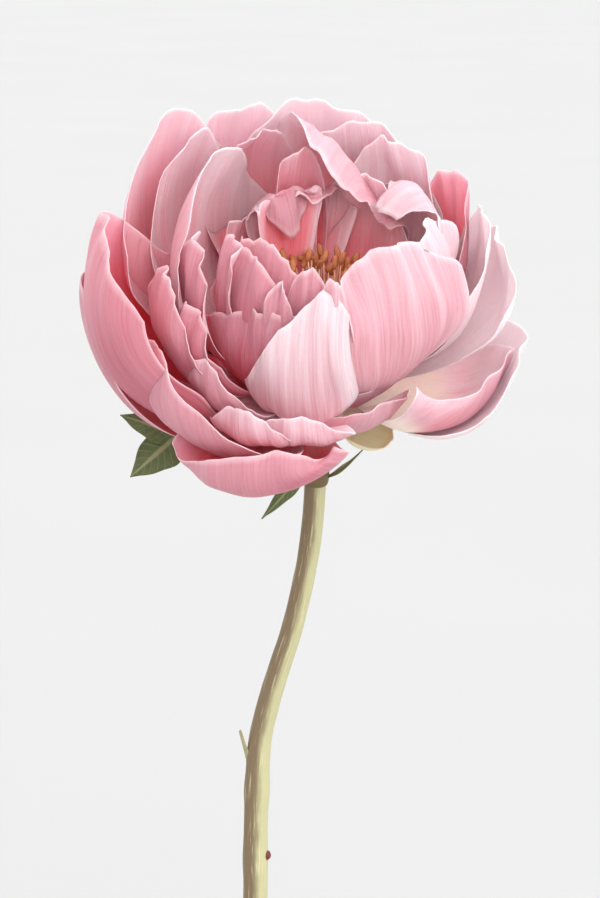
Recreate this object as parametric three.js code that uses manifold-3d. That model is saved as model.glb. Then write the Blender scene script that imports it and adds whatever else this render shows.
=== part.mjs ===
/* A peony in a bud vase: one semi-double bloom, tilted towards the viewer, on a bare curved stem that
   stands in a slim-necked glazed vase with some water. Millimetres, +Z up, origin at the middle of the
   vase's base, and the bloom looks towards -Y. */
import * as THREE from "three";
import { mergeVertices } from "three/addons/utils/BufferGeometryUtils.js";
import Module from "manifold-3d";

const wasm = await Module();
wasm.setup();

/* Driving dimensions. */
const GAP = 0.35; // clearance left between pieces that touch

const VASE_HEIGHT = 148;
const VASE_WALL = 3.6;
const VASE_FLOOR = 6;
const VASE_SIDES = 30;
/* The vase's outline as height and outer radius, from the foot to the lip. */
const VASE_OUTLINE = [
  [0, 25], [3, 28], [14, 34], [34, 37.5], [56, 35], [76, 27.5],
  [94, 18.5], [110, 12.6], [126, 10.7], [138, 10.9], [148, 13],
];
const WATER_LEVEL = 98;

const HUB = new THREE.Vector3(23.2, -14, 323); // where the petals meet
const TILT = 20; // degrees, the bloom's lean towards the viewer

const STEM_RADIUS_TOP = 3.3;
const STEM_RADIUS_FOOT = 3.9;
const STEM_SIDES = 10;
const STEM_STEPS = 27;
/* The stem's centre line, measured from the hub: down behind the bloom and in an S to the vase's neck. */
const STEM_ROUTE = [
  [0, 4.6, -12.6], [-0.3, 8.2, -22.6], [-1.2, 11.2, -32], [-2.1, 13.2, -45.8], [-3.6, 14, -58.2],
  [-6, 14, -70.5], [-9, 14, -82.7], [-12.9, 14, -95], [-16.2, 14, -106.5], [-18.8, 14, -119],
  [-19.8, 14, -138], [-20.2, 14, -155], [-20.4, 14, -173], [-22.6, 14, -212], [-26, 14, -265],
  [-29, 14, -316.1],
];
const STEM_GROOVE = 0.03; // depth of its grooves, as a share of the radius
const ROUTE_SAMPLES = 200;
const NODE_HEIGHT = -32; // where the bracts clasp the stem, below the hub
/* The lobed leaf, measured from the hub: its stalk, and each lobe's base, tip and width. */
const LEAF_STALK = [[-12, 19, -24], [-27, 20.5, -20], [-38, 18.5, -18.5], [-46, 16, -19.5]];
const LEAF_LOBES = [
  [[-42, 17, -19], [-58, 12, -32.5], 13],
  [[-42, 17, -21], [-61, 14, -13.5], 9],
  [[-41, 17.6, -19], [-50, 30, -17], 10],
];

const RECEPTACLE_TOP = -4.9; // along the bloom's axis
const HUB_BOTTOM = -4.5;
const HUB_TOP = 5;
const HUB_RADIUS = 12;

const PETAL_THICKNESS = 0.7;
const SEPAL_THICKNESS = 1;
const LEAF_THICKNESS = 0.9;

const STAMEN_COUNT = 40;
const STAMEN_RING = [4.7, 7.4]; // inner and outer radius
const CARPEL_COUNT = 3;

/* Where each whorl is rooted: the radius and height of the petals' roots on the hub. */
const OUTER = { r0: 7, h0: -3, across: 4, along: 6 };
const MIDDLE = { r0: 8, h0: 0, across: 4, along: 5 };
const INNER = { r0: 8, h0: 3, across: 2, along: 4 };

/* The petals. az is the direction each one leans, in degrees from +X towards +Y; r and h are its tip's
   radius and height; out and curl are the angles at which its spine leaves the root and reaches the tip,
   90 being upright; full is how far the spine bellies; w is its width and wrap how far it cups. drop
   and square shape its margin, which slant shortens to one side. Some petals also turn aside towards the
   tip (swing), roll over (twist) or are widest nearer the root (widest). */
const PETALS = [
  // guard petals
  { az: 187, r: 63, h: 60, out: -34, curl: 120, full: 1.6, w: 80, wrap: 80, drop: 0.19, widest: 0.45,
    slant: -0.04, twist: -15, ...OUTER },
  { az: 180, r: 68.5, h: 39, out: -48, curl: 104, full: 1.6, w: 50, wrap: 30, widest: 0.5, ...OUTER },
  { az: 222, r: 57, h: 24, out: -30, curl: 108, full: 1.5, w: 66, wrap: 40, slant: 0.22, widest: 0.45,
    ...OUTER },
  { az: 247, r: 57, h: 6, out: -42, curl: 105, full: 1.5, w: 63, wrap: 60, drop: 0.16, slant: -0.1,
    square: 3, widest: 0.5, twist: 14, ...OUTER },
  { az: 345, r: 55, h: 9, out: -37, curl: 80, full: 1.45, w: 68, wrap: 75, swing: 8, widest: 0.5,
    twist: -22, slant: -0.06, ...OUTER },
  { az: 8, r: 61, h: 12, out: -53, curl: 80, full: 1.45, w: 80, wrap: 45, widest: 0.5, slant: 0.05,
    ...OUTER },
  { az: 302, r: 33, h: 8, out: -45, curl: 80, full: 1.4, w: 38, wrap: 45, ...OUTER },
  { az: 22, r: 57, h: 39, out: 0, curl: 105, full: 1.4, w: 54, wrap: 40, ...OUTER },
  { az: 148, r: 53, h: 74, out: 4, curl: 115, full: 1.6, w: 76, wrap: 50, drop: 0.26, square: 2.4,
    ...OUTER },
  { az: 117, r: 54, h: 68, out: -8, curl: 112, full: 1.6, w: 50, wrap: 42, drop: 0.24, square: 3,
    ...OUTER },
  { az: 92, r: 47, h: 70, out: 2, curl: 115, full: 1.6, w: 66, wrap: 42, drop: 0.24, square: 3,
    ...OUTER },
  { az: 72, r: 42, h: 66, out: 18, curl: 115, full: 1.6, w: 58, wrap: 42, drop: 0.26, square: 3,
    ...OUTER },
  // middle petals
  { az: 141, r: 46, h: 69, out: 16, curl: 118, full: 1.6, w: 54, wrap: 40, widest: 0.55, square: 2,
    drop: 0.36, ...MIDDLE },
  { az: 155, r: 31, h: 70, out: 12, curl: 125, full: 1.6, w: 72, wrap: 45, drop: 0.32, widest: 0.6,
    square: 2.2, ...MIDDLE },
  { az: 119, r: 36, h: 67, out: 32, curl: 135, full: 1.5, w: 40, wrap: 45, drop: 0.28, square: 3,
    ...MIDDLE },
  { az: 54, r: 38, h: 65, out: 24, curl: 110, full: 1.5, w: 44, wrap: 50, drop: 0.26, square: 3,
    ...MIDDLE },
  { az: 74, r: 12, h: 63, out: 30, curl: 185, full: 1.7, w: 44, wrap: 30, drop: 0.3, square: 2.2,
    twist: -50, ...MIDDLE },
  { az: 33, r: 48, h: 57, out: 5, curl: 100, full: 1.5, w: 42, wrap: 70, ...MIDDLE },
  { az: 14, r: 49, h: 52, out: 0, curl: 100, full: 1.5, w: 30, wrap: 55, ...MIDDLE },
  { az: 28, r: 20, h: 51, out: 14, curl: 228, full: 2.1, w: 34, wrap: 40, ...MIDDLE },
  { az: 348, r: 31, h: 56, out: 25, curl: 120, full: 1.35, w: 46, wrap: 40, twist: -14, ...MIDDLE },
  { az: 318, r: 33, h: 6, out: -20, curl: 50, full: 1.4, w: 30, wrap: 25, ...MIDDLE },
  { az: 312, r: 26, h: 55, out: 14, curl: 125, full: 1.6, w: 49, wrap: 35, drop: 0.15, twist: -22,
    ...MIDDLE },
  { az: 257, r: 35, h: 41, out: -24, curl: 118, full: 1.5, w: 40, wrap: 55, slant: -0.28, widest: 0.5,
    drop: 0.26, square: 2.8, ...MIDDLE },
  { az: 242, r: 48, h: 17, out: -14, curl: 105, full: 1.4, w: 28, wrap: 35, drop: 0.2, ...MIDDLE },
  { az: 257, r: 44, h: 14, out: -10, curl: 105, full: 1.4, w: 28, wrap: 35, drop: 0.2, ...MIDDLE },
  { az: 224, r: 49, h: 25, out: -4, curl: 105, full: 1.4, w: 30, wrap: 35, ...MIDDLE },
  { az: 200, r: 47, h: 46, out: -2, curl: 115, full: 1.5, w: 38, wrap: 35, ...MIDDLE },
  { az: 212, r: 44, h: 39, out: 6, curl: 115, full: 1.5, w: 28, wrap: 60, ...MIDDLE },
  { az: 224, r: 32, h: 36, out: 10, curl: 105, full: 1.5, w: 44, wrap: 25, drop: 0.06, slant: -0.12,
    ...MIDDLE },
  // inner petals
  { az: 199, r: 37, h: 56, out: 10, curl: 115, full: 1.4, w: 22, wrap: 30, ...INNER },
  { az: 207, r: 28, h: 55, out: 28, curl: 115, full: 1.4, w: 14, wrap: 30, ...INNER },
  { az: 219, r: 26, h: 52, out: 34, curl: 115, full: 1.5, w: 32, wrap: 35, drop: 0.15, ...INNER },
  { az: 232, r: 21, h: 55, out: 44, curl: 110, full: 1.3, w: 34, wrap: 30, drop: 0.12, square: 1,
    slant: 0.08, ...INNER },
  { az: 262, r: 21, h: 51, out: 38, curl: 110, full: 1.3, w: 18, wrap: 30, ...INNER },
  { az: 247, r: 27, h: 48, out: 30, curl: 110, full: 1.4, w: 13, wrap: 30, ...INNER },
  { az: 276, r: 26, h: 50, out: 30, curl: 110, full: 1.4, w: 13, wrap: 30, ...INNER },
  { az: 62, r: 27, h: 56, out: 40, curl: 110, full: 1.3, w: 44, wrap: 50, ...INNER },
  { az: 142, r: 29, h: 46, out: 26, curl: 110, full: 1.3, w: 34, wrap: 50, ...INNER },
  { az: 125, r: 14, h: 43, out: 60, curl: 262, full: 2.6, w: 26, wrap: 40, ...INNER },
  { az: 104, r: 24, h: 66, out: 46, curl: 118, full: 1.4, w: 24, wrap: 85, drop: 0.25, ...INNER },
  { az: 105, r: 16, h: 53, out: 46, curl: 190, full: 1.6, w: 38, wrap: 45, drop: 0.22, ...INNER },
];

/* The calyx: sepals under the guard petals, in the same terms as the petals. */
const SEPAL_ROOT = { r0: 6.8, h0: -11, drop: 0.4, ruffle: 0, lobes: 0, claw: 0.45, across: 4, along: 5 };
const SEPALS = [
  { az: 325, r: 27, h: -17, out: -35, curl: 25, full: 1.1, w: 21, wrap: 45, ...SEPAL_ROOT },
  { az: 35, r: 24, h: -17, out: -40, curl: 20, full: 1.1, w: 20, wrap: 40, ...SEPAL_ROOT },
  { az: 108, r: 27, h: -15, out: -35, curl: 30, full: 1.1, w: 22, wrap: 40, ...SEPAL_ROOT },
  { az: 178, r: 24, h: -17, out: -40, curl: 20, full: 1.1, w: 20, wrap: 40, ...SEPAL_ROOT },
  { az: 250, r: 19, h: -20, out: -50, curl: -10, full: 1.1, w: 16, wrap: 35, ...SEPAL_ROOT },
];

const radians = THREE.MathUtils.degToRad;
const smooth = THREE.MathUtils.smoothstep;
const clamp = THREE.MathUtils.clamp;

/* A cubic from `from` to `to` at u, with its start and end slopes, and that cubic's own slope. */
function cubic(from, startSlope, to, endSlope, u) {
  const value =
    (2 * u ** 3 - 3 * u ** 2 + 1) * from + (u ** 3 - 2 * u ** 2 + u) * startSlope +
    (3 * u ** 2 - 2 * u ** 3) * to + (u ** 3 - u ** 2) * endSlope;
  const slope =
    (6 * u ** 2 - 6 * u) * (from - to) + (3 * u ** 2 - 4 * u + 1) * startSlope +
    (3 * u ** 2 - 2 * u) * endSlope;
  return [value, slope];
}

/* A point of a petal's middle surface. s runs across it from -1 to 1, and t from its root to its margin.
   The spine is a cubic in the plane through the bloom's axis. Across it the petal is an arc that cups
   inwards, widest past the middle, and its margin is rounded, lobed and ruffled. */
function petalPoint(petal, s, t) {
  const { drop = 0.3, square = 2.6, slant = 0, lobes = 0.006, claw = 0.08, taper = 0.15 } = petal;
  const { widest = 0.62, swing = 0, twist = 0, ruffle = 1.2, phase = 0 } = petal;
  const waves = 6.5;
  const reach =
    1 - drop * Math.abs(s) ** square - slant * s +
    lobes * (Math.sin(9 * s + phase) + 0.6 * Math.sin(17 * s + 2.1 * phase));
  const tau = t * reach;

  const pull = petal.full * Math.hypot(petal.r - petal.r0, petal.h - petal.h0);
  const [out, curl] = [radians(petal.out), radians(petal.curl)];
  const [radius, dRadius] = cubic(petal.r0, pull * Math.cos(out), petal.r, pull * Math.cos(curl), tau);
  const [height, dHeight] = cubic(petal.h0, pull * Math.sin(out), petal.h, pull * Math.sin(curl), tau);
  const slope = Math.hypot(dRadius, dHeight);

  const azimuth = radians(petal.az + swing * tau ** 1.5);
  const outward = new THREE.Vector3(Math.cos(azimuth), Math.sin(azimuth), 0);
  const sideways = new THREE.Vector3(-Math.sin(azimuth), Math.cos(azimuth), 0);
  const inward = outward.clone().multiplyScalar(-dHeight / slope).setZ(dRadius / slope);

  const swell = Math.sin((Math.PI / 2) * clamp(tau / widest, 0, 1)) ** 1.5;
  const halfWidth = 0.5 * petal.w * (claw + (1 - claw) * swell) * (1 - taper * smooth(tau, widest, 1.05));
  const cup = radians(petal.wrap) * (0.55 + 0.45 * smooth(tau, 0, 0.5));
  const margin = Math.max(Math.abs(s) ** 5 * smooth(tau, 0.3, 0.7), smooth(t, 0.72, 1));
  const wave = Math.sin(waves * s + 1.7 * phase) + 0.5 * Math.sin(2.3 * waves * s + phase);
  const turn = radians(twist) * smooth(tau, 0.1, 1);
  const side = (halfWidth / cup) * Math.sin(cup * s);
  const depth = (halfWidth / cup) * (1 - Math.cos(cup * s));
  const across = side * Math.cos(turn) - depth * Math.sin(turn);
  const rise = side * Math.sin(turn) + depth * Math.cos(turn) + ruffle * margin * wave;

  return outward.multiplyScalar(radius).setZ(height)
    .addScaledVector(sideways, across).addScaledVector(inward, rise);
}

/* A narrow leaf's middle surface from `base` to `tip`, arched by `sag` along `lift`, folded a little
   along its rib, with a pointed end. `face` is the direction that its upper side looks to. */
function leafPoint(leaf, s, t) {
  const { waviness = 0, teeth = 0 } = leaf;
  const spine = new THREE.QuadraticBezierCurve3(
    leaf.base, leaf.base.clone().lerp(leaf.tip, 0.5).addScaledVector(leaf.face, leaf.sag), leaf.tip);
  const along = spine.getTangent(clamp(t, 0, 1));
  const across = new THREE.Vector3().crossVectors(leaf.face, along).normalize();
  const up = new THREE.Vector3().crossVectors(along, across);
  const taper = Math.sin(Math.PI * clamp(0.12 + 0.88 * t, 0, 1) ** 0.8);
  const notch = 1 + waviness * Math.sin(teeth * t + 2 * s);
  const halfWidth = Math.max(0.5 * leaf.width * taper * notch, 0.35);
  return spine.getPoint(clamp(t, 0, 1)).addScaledVector(across, s * halfWidth)
    .addScaledVector(up, leaf.fold * Math.abs(s) * halfWidth);
}

/* A BufferGeometry from a list of Vector3 and a list of triangles. */
function geometryFrom(points, triangles) {
  const geometry = new THREE.BufferGeometry().setFromPoints(points);
  geometry.setIndex(triangles.flat());
  return geometry;
}

/* A closed blade of even thickness round a middle surface, split alike on both faces. */
function blade(surface, across, along, thickness) {
  const nudge = 1e-3;
  const points = [];
  for (const side of [0.5, -0.5]) {
    for (let j = 0; j <= along; j++) {
      for (let i = 0; i <= across; i++) {
        const [s, t] = [-1 + (2 * i) / across, j / along];
        const sLow = Math.max(s - nudge, -1);
        const sHigh = Math.min(s + nudge, 1);
        const tLow = Math.max(t - nudge, 0);
        const tHigh = Math.min(t + nudge, 1);
        const acrossStep = surface(sHigh, t).sub(surface(sLow, t));
        const alongStep = surface(s, tHigh).sub(surface(s, tLow));
        const normal = acrossStep.cross(alongStep).normalize();
        points.push(surface(s, t).addScaledVector(normal, side * thickness));
      }
    }
  }
  const row = across + 1;
  const layer = row * (along + 1);
  const triangles = [];
  for (let j = 0; j < along; j++) {
    for (let i = 0; i < across; i++) {
      const [a, b, c, d] = [j * row + i, j * row + i + 1, (j + 1) * row + i + 1, (j + 1) * row + i];
      triangles.push([a, b, c], [a, c, d]);
      triangles.push([a + layer, c + layer, b + layer], [a + layer, d + layer, c + layer]);
    }
  }
  const rim = [];
  for (let i = 0; i < across; i++) rim.push(i);
  for (let j = 0; j < along; j++) rim.push(j * row + across);
  for (let i = across; i > 0; i--) rim.push(along * row + i);
  for (let j = along; j > 0; j--) rim.push(j * row);
  rim.forEach((p, k) => {
    const q = rim[(k + 1) % rim.length];
    triangles.push([q, p, p + layer], [q, p + layer, q + layer]);
  });
  return geometryFrom(points, triangles);
}

/* A closed round rod along a curve, its radius given by radiusAt(u), with shallow grooves along it. */
function rod(curve, radiusAt, sides, steps, groove = 0) {
  const points = [curve.getPoint(0)];
  for (let j = 0; j <= steps; j++) {
    const u = j / steps;
    const along = curve.getTangent(u);
    const right = new THREE.Vector3(1, 0, 0).addScaledVector(along, -along.x).normalize();
    const back = new THREE.Vector3().crossVectors(along, right);
    for (let i = 0; i < sides; i++) {
      const angle = (2 * Math.PI * i) / sides;
      const radius = radiusAt(u) * (1 + groove * Math.cos(3 * angle));
      points.push(curve.getPoint(u).addScaledVector(right, radius * Math.cos(angle))
        .addScaledVector(back, radius * Math.sin(angle)));
    }
  }
  points.push(curve.getPoint(1));
  const end = points.length - 1;
  const triangles = [];
  for (let i = 0; i < sides; i++) {
    const next = (i + 1) % sides;
    triangles.push([0, 1 + next, 1 + i]);
    for (let j = 0; j < steps; j++) {
      const [a, b] = [1 + j * sides + i, 1 + j * sides + next];
      triangles.push([a, b, b + sides], [a, b + sides, a + sides]);
    }
    triangles.push([end, end - sides + i, end - sides + next]);
  }
  return geometryFrom(points, triangles);
}

/* A solid of revolution about Z from a profile of [radius, height] pairs. */
function turned(profile, sides) {
  const points = profile.map(([radius, height]) => new THREE.Vector2(radius, height));
  return new THREE.LatheGeometry(points, sides).rotateX(Math.PI / 2);
}

/* A geometry as a solid: shared corners merged, collapsed triangles dropped, faces turned outwards. */
function solid(geometry) {
  const bare = geometry.clone();
  bare.deleteAttribute("normal");
  bare.deleteAttribute("uv");
  const merged = mergeVertices(bare, 1e-4);
  const corners = merged.attributes.position;
  const index = merged.index.array;
  const triangles = [];
  let volume = 0;
  for (let k = 0; k < index.length; k += 3) {
    const [a, b, c] = [index[k], index[k + 1], index[k + 2]];
    if (a === b || b === c || c === a) continue;
    triangles.push([a, b, c]);
    const [p, q, r] = [a, b, c].map((i) => new THREE.Vector3().fromBufferAttribute(corners, i));
    volume += p.dot(q.cross(r));
  }
  const turnedOut = volume > 0 ? triangles : triangles.map(([a, b, c]) => [a, c, b]);
  const mesh = new wasm.Mesh({
    numProp: 3,
    vertProperties: Float32Array.from(corners.array),
    triVerts: Uint32Array.from(turnedOut.flat()),
  });
  return new wasm.Manifold(mesh);
}

/* Solids joined into one, keeping its largest body, so that scraps and sealed hollows are dropped. */
function joined(solids) {
  const whole = solids.reduce((sum, piece) => sum.add(piece));
  return whole.decompose().sort((a, b) => b.volume() - a.volume())[0];
}

/* The geometry of a solid. */
function geometryOf(piece) {
  const { vertProperties, triVerts } = piece.getMesh();
  const geometry = new THREE.BufferGeometry();
  geometry.setAttribute("position", new THREE.BufferAttribute(Float32Array.from(vertProperties), 3));
  geometry.setIndex(new THREE.BufferAttribute(Uint32Array.from(triVerts), 1));
  geometry.computeVertexNormals();
  return geometry;
}

function named(name, piece, colour, roughness) {
  const material = new THREE.MeshStandardMaterial({ color: colour, roughness, metalness: 0 });
  const mesh = new THREE.Mesh(geometryOf(piece), material);
  mesh.name = name;
  return mesh;
}

/* The bloom's own frame: Z runs up its axis, and the hub is its origin. */
const bloom = new THREE.Group();
bloom.position.copy(HUB);
bloom.rotation.x = radians(TILT);
bloom.updateMatrix();

const fromHub = ([x, y, z]) => new THREE.Vector3(x, y, z).add(HUB);
const stemCurve = new THREE.CatmullRomCurve3(STEM_ROUTE.map(fromHub), false, "centripetal");
const stemRadius = (u) => THREE.MathUtils.lerp(STEM_RADIUS_TOP, STEM_RADIUS_FOOT, smooth(u, 0.15, 0.55));

/* The vase: one turned wall, with a flat base and an open, slightly flared lip. */
function makeVase() {
  const outline = new THREE.SplineCurve(VASE_OUTLINE.map(([z, r]) => new THREE.Vector2(r, z)));
  const outer = outline.getPoints(13).map((p) => [p.x, p.y]);
  const inner = outer.filter(([, z]) => z > VASE_FLOOR + 4 && z < VASE_HEIGHT - 1)
    .map(([r, z]) => [r - VASE_WALL, z]).reverse();
  const [lip] = VASE_OUTLINE[VASE_OUTLINE.length - 1].slice(1);
  const profile = [
    [0, 0], ...outer.slice(0, -1), [lip, VASE_HEIGHT - 1.2], [lip - 1, VASE_HEIGHT],
    [lip - VASE_WALL + 0.6, VASE_HEIGHT], ...inner, [22, VASE_FLOOR], [0, VASE_FLOOR],
  ];
  return { body: solid(turned(profile, VASE_SIDES)), inner };
}

/* The water: it fills the vase to its level, with a plain hole that the stem stands in. */
function makeWater(inner) {
  const wet = inner.filter(([, z]) => z < WATER_LEVEL);
  const [above] = inner.filter(([, z]) => z >= WATER_LEVEL).slice(-1);
  const share = (WATER_LEVEL - wet[0][1]) / (above[1] - wet[0][1]);
  const top = THREE.MathUtils.lerp(wet[0][0], above[0], share) - 1.5 * GAP;
  const wall = wet.reverse().map(([r, z]) => [r - 1.5 * GAP, z]);
  const profile = [
    [0, VASE_FLOOR + GAP], [21.5, VASE_FLOOR + GAP], ...wall, [top, WATER_LEVEL], [0, WATER_LEVEL],
  ];
  const foot = STEM_ROUTE[STEM_ROUTE.length - 1];
  const hole = new THREE.CatmullRomCurve3(
    [...STEM_ROUTE.slice(-4, -1), foot, [foot[0] - 0.3, foot[1], foot[2] - 4]].map(fromHub),
    false, "centripetal");
  const shaft = rod(hole, () => STEM_RADIUS_FOOT * (1 + STEM_GROOVE) + GAP, STEM_SIDES, 14);
  return solid(turned(profile, VASE_SIDES)).subtract(solid(shaft));
}

/* The stem: a grooved rod that swells into the receptacle under the bloom, with the stub of a cut leaf
   and a bud scar. */
function makeStem() {
  const receptacle = turned([
    [0, -17], [3.1, -17], [3.6, -14], [5, -10.5], [6.4, -7.5], [6.8, -5.8], [6, RECEPTACLE_TOP],
    [0, RECEPTACLE_TOP],
  ], 14).applyMatrix4(bloom.matrix);
  const stub = {
    base: fromHub([-20.8, 14, -131]), tip: fromHub([-24.6, 13, -114]),
    face: new THREE.Vector3(-0.9, -0.4, 0), width: 4.4, sag: -0.6, fold: 0.25,
  };
  const scar = new THREE.SphereGeometry(1.3, 8, 6).translate(...fromHub([-16.6, 13.2, -155.1]));
  return joined([
    solid(rod(stemCurve, stemRadius, STEM_SIDES, STEM_STEPS, STEM_GROOVE)),
    solid(receptacle),
    solid(blade((s, t) => leafPoint(stub, s, t), 2, 4, 1.2)),
    solid(scar),
  ]);
}

/* The bracts: a sheath round the stem below the bloom, with a narrow hanging bract, a thin upright one
   and a lobed leaf on a stalk that runs behind the bloom. */
function makeBracts() {
  const u = stemCurve.getPoints(ROUTE_SAMPLES).findIndex((p) => p.z < HUB.z + NODE_HEIGHT) / ROUTE_SAMPLES;
  const place = stemCurve.getPoint(u);
  const down = stemCurve.getTangent(u);
  const beside = (x, y, z) => place.clone().add(new THREE.Vector3(x, y, z));
  const along = (half) => new THREE.LineCurve3(
    place.clone().addScaledVector(down, -half), place.clone().addScaledVector(down, half));
  const boreRadius = STEM_RADIUS_TOP * (1 + STEM_GROOVE) + GAP;
  const wall = 0.9;

  const hanging = {
    base: beside(-4, -0.6, 1), tip: fromHub([-17.7, 8, -44.7]),
    face: new THREE.Vector3(0.45, -0.8, 0.55).normalize(), width: 4.6, sag: 1.6, fold: 0.35,
  };
  const upright = {
    base: beside(4, -0.6, -0.4), tip: fromHub([13, 4.6, -22.4]),
    face: new THREE.Vector3(-0.5, -0.4, 0.75).normalize(), width: 2.4, sag: -1, fold: 0.3,
  };
  const stalk = new THREE.CatmullRomCurve3(
    [beside(-3, 3, 0.6), ...LEAF_STALK.map(fromHub)], false, "centripetal");
  const lobes = LEAF_LOBES.map(([base, tip, width]) => ({
    base: fromHub(base), tip: fromHub(tip), width, waviness: 0.08, teeth: 15,
    face: new THREE.Vector3(0.1, -0.9, 0.35).normalize(), sag: 1.2, fold: 0.22,
  }));
  const body = joined([
    solid(rod(along(2.4), () => boreRadius + wall, STEM_SIDES, 1)),
    solid(blade((s, t) => leafPoint(hanging, s, t), 2, 5, LEAF_THICKNESS)),
    solid(blade((s, t) => leafPoint(upright, s, t), 2, 5, LEAF_THICKNESS)),
    solid(rod(stalk, () => 1.1, 6, 9)),
    ...lobes.map((lobe) => solid(blade((s, t) => leafPoint(lobe, s, t), 2, 8, LEAF_THICKNESS))),
  ]);
  return joined([body.subtract(solid(rod(along(6), () => boreRadius, STEM_SIDES, 1)))]);
}

/* The calyx: five cupped sepals on a collar that sits round the receptacle. */
function makeSepals() {
  const collar = turned([
    [4.2 + GAP, -14], [6.5 + GAP, -8], [7.6 + GAP, -8.4], [7.4 + GAP, -11.5], [5.6 + GAP, -14.4],
    [4.2 + GAP, -14],
  ], 14);
  const blades = SEPALS.map((sepal) =>
    solid(blade((s, t) => petalPoint(sepal, s, t), sepal.across, sepal.along, SEPAL_THICKNESS)));
  return joined([solid(collar), ...blades]);
}

/* The petals in their layers, joined where their claws meet on the hub. */
function makePetals() {
  const hub = turned([
    [0, HUB_BOTTOM], [HUB_RADIUS - 1.4, HUB_BOTTOM], [HUB_RADIUS, -2], [HUB_RADIUS, HUB_TOP - 1],
    [HUB_RADIUS - 1, HUB_TOP], [0, HUB_TOP],
  ], 24);
  const blades = PETALS.map((petal, k) => {
    const own = { ...petal, phase: 1.3 * k };
    return solid(blade((s, t) => petalPoint(own, s, t), petal.across, petal.along, PETAL_THICKNESS));
  });
  return joined([solid(hub), ...blades]);
}

/* The stamens: slim filaments with long anthers on a low ring, set out by the golden angle. One that
   would run into a petal is left out. */
function makeStamens(petals) {
  const [inner, outer] = STAMEN_RING;
  const low = HUB_TOP + GAP;
  const high = low + 1.6;
  const ring = turned([[inner, low], [outer, low], [outer, high], [inner, high], [inner, low]], 24);
  const solids = [solid(ring)];
  for (let k = 0; k < STAMEN_COUNT; k++) {
    const share = (k + 0.5) / STAMEN_COUNT;
    const angle = radians(137.508 * k);
    const lean = radians(THREE.MathUtils.lerp(78, 60, share));
    const length = 31 - 5 * share + 1.5 * Math.sin(5 * k);
    const foot = THREE.MathUtils.lerp(inner + 0.7, outer - 0.7, share);
    const heading = new THREE.Vector3(
      Math.cos(lean) * Math.cos(angle), Math.cos(lean) * Math.sin(angle), Math.sin(lean));
    const root = new THREE.Vector3(foot * Math.cos(angle), foot * Math.sin(angle), low + 0.8);
    const turn = new THREE.Quaternion().setFromUnitVectors(new THREE.Vector3(0, 1, 0), heading);
    const filament = new THREE.CylinderGeometry(0.42, 0.55, length, 3)
      .translate(0, length / 2, 0).applyQuaternion(turn).translate(...root);
    const anther = new THREE.SphereGeometry(1, 4, 3).scale(0.9, 2.2, 0.9)
      .translate(0, length + 1.2, 0).applyQuaternion(turn).translate(...root);
    const stamen = solid(filament).add(solid(anther));
    if (stamen.minGap(petals, 2) > GAP) solids.push(stamen);
  }
  return joined(solids);
}

/* The carpels: plump flasks with a curled stigma, on a small disc in the middle of the stamens. */
function makeCarpels() {
  const low = HUB_TOP + GAP;
  const solids = [solid(turned([[0, low], [4, low], [4, low + 1.4], [0, low + 1.4]], 16))];
  for (let k = 0; k < CARPEL_COUNT; k++) {
    const angle = (2 * Math.PI * (k + 0.25)) / CARPEL_COUNT;
    const flask = new THREE.SphereGeometry(1, 7, 5).scale(2.1, 2.1, 5.4).rotateY(radians(9))
      .translate(1.75, 0, low + 5.6).rotateZ(angle);
    const stigma = new THREE.SphereGeometry(1, 5, 4).scale(1.7, 0.8, 1).rotateY(radians(-35))
      .translate(3.4, 0, low + 11).rotateZ(angle);
    solids.push(solid(flask), solid(stigma));
  }
  return joined(solids);
}

const vase = makeVase();
const petals = makePetals();

const peony = new THREE.Group();
peony.add(
  named("vase", vase.body, 0xeeeae1, 0.25),
  named("water", makeWater(vase.inner), 0xdfe9ea, 0.05),
  named("stem", makeStem(), 0x9c9a6c, 0.55),
  named("bracts", makeBracts(), 0x76805c, 0.6),
);
bloom.add(
  named("sepals", makeSepals(), 0xc9c79a, 0.6),
  named("petals", petals, 0xe4a0af, 0.7),
  named("stamens", makeStamens(petals), 0xd6964f, 0.8),
  named("carpels", makeCarpels(), 0xc98f7f, 0.6),
);
peony.add(bloom);

export default peony;
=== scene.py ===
"""A peony in a bud vase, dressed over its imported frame: petals, stamens, calyx, leaf, stem and vase.

Sizes are millimetres in the constants and metres in the meshes. The bloom has a frame of its own, with its
origin at the hub where the petals meet and its third axis up the middle of the flower."""
import math

import bmesh
import bpy
import numpy as np
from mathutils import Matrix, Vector


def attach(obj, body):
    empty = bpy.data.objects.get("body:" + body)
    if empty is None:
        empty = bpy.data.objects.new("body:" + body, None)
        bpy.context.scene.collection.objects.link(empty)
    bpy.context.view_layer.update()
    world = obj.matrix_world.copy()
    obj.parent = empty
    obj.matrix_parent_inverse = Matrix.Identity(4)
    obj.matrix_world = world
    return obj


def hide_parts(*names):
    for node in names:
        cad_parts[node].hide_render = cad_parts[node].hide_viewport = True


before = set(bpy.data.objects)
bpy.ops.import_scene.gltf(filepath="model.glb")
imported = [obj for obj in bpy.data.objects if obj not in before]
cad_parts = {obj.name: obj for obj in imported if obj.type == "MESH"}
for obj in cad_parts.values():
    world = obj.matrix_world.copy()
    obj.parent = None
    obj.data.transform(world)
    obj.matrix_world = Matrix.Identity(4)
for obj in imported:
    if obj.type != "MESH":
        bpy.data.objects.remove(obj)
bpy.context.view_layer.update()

MM = 0.001

# The photograph's view
IMAGE = (600, 898)
SCALE = 0.3  # millimetres to a pixel at the bloom
VIEW_DROP = math.radians(12)  # how far the camera looks down
VIEW_DISTANCE = 850
HUB_PIXEL = (320, 380)

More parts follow.
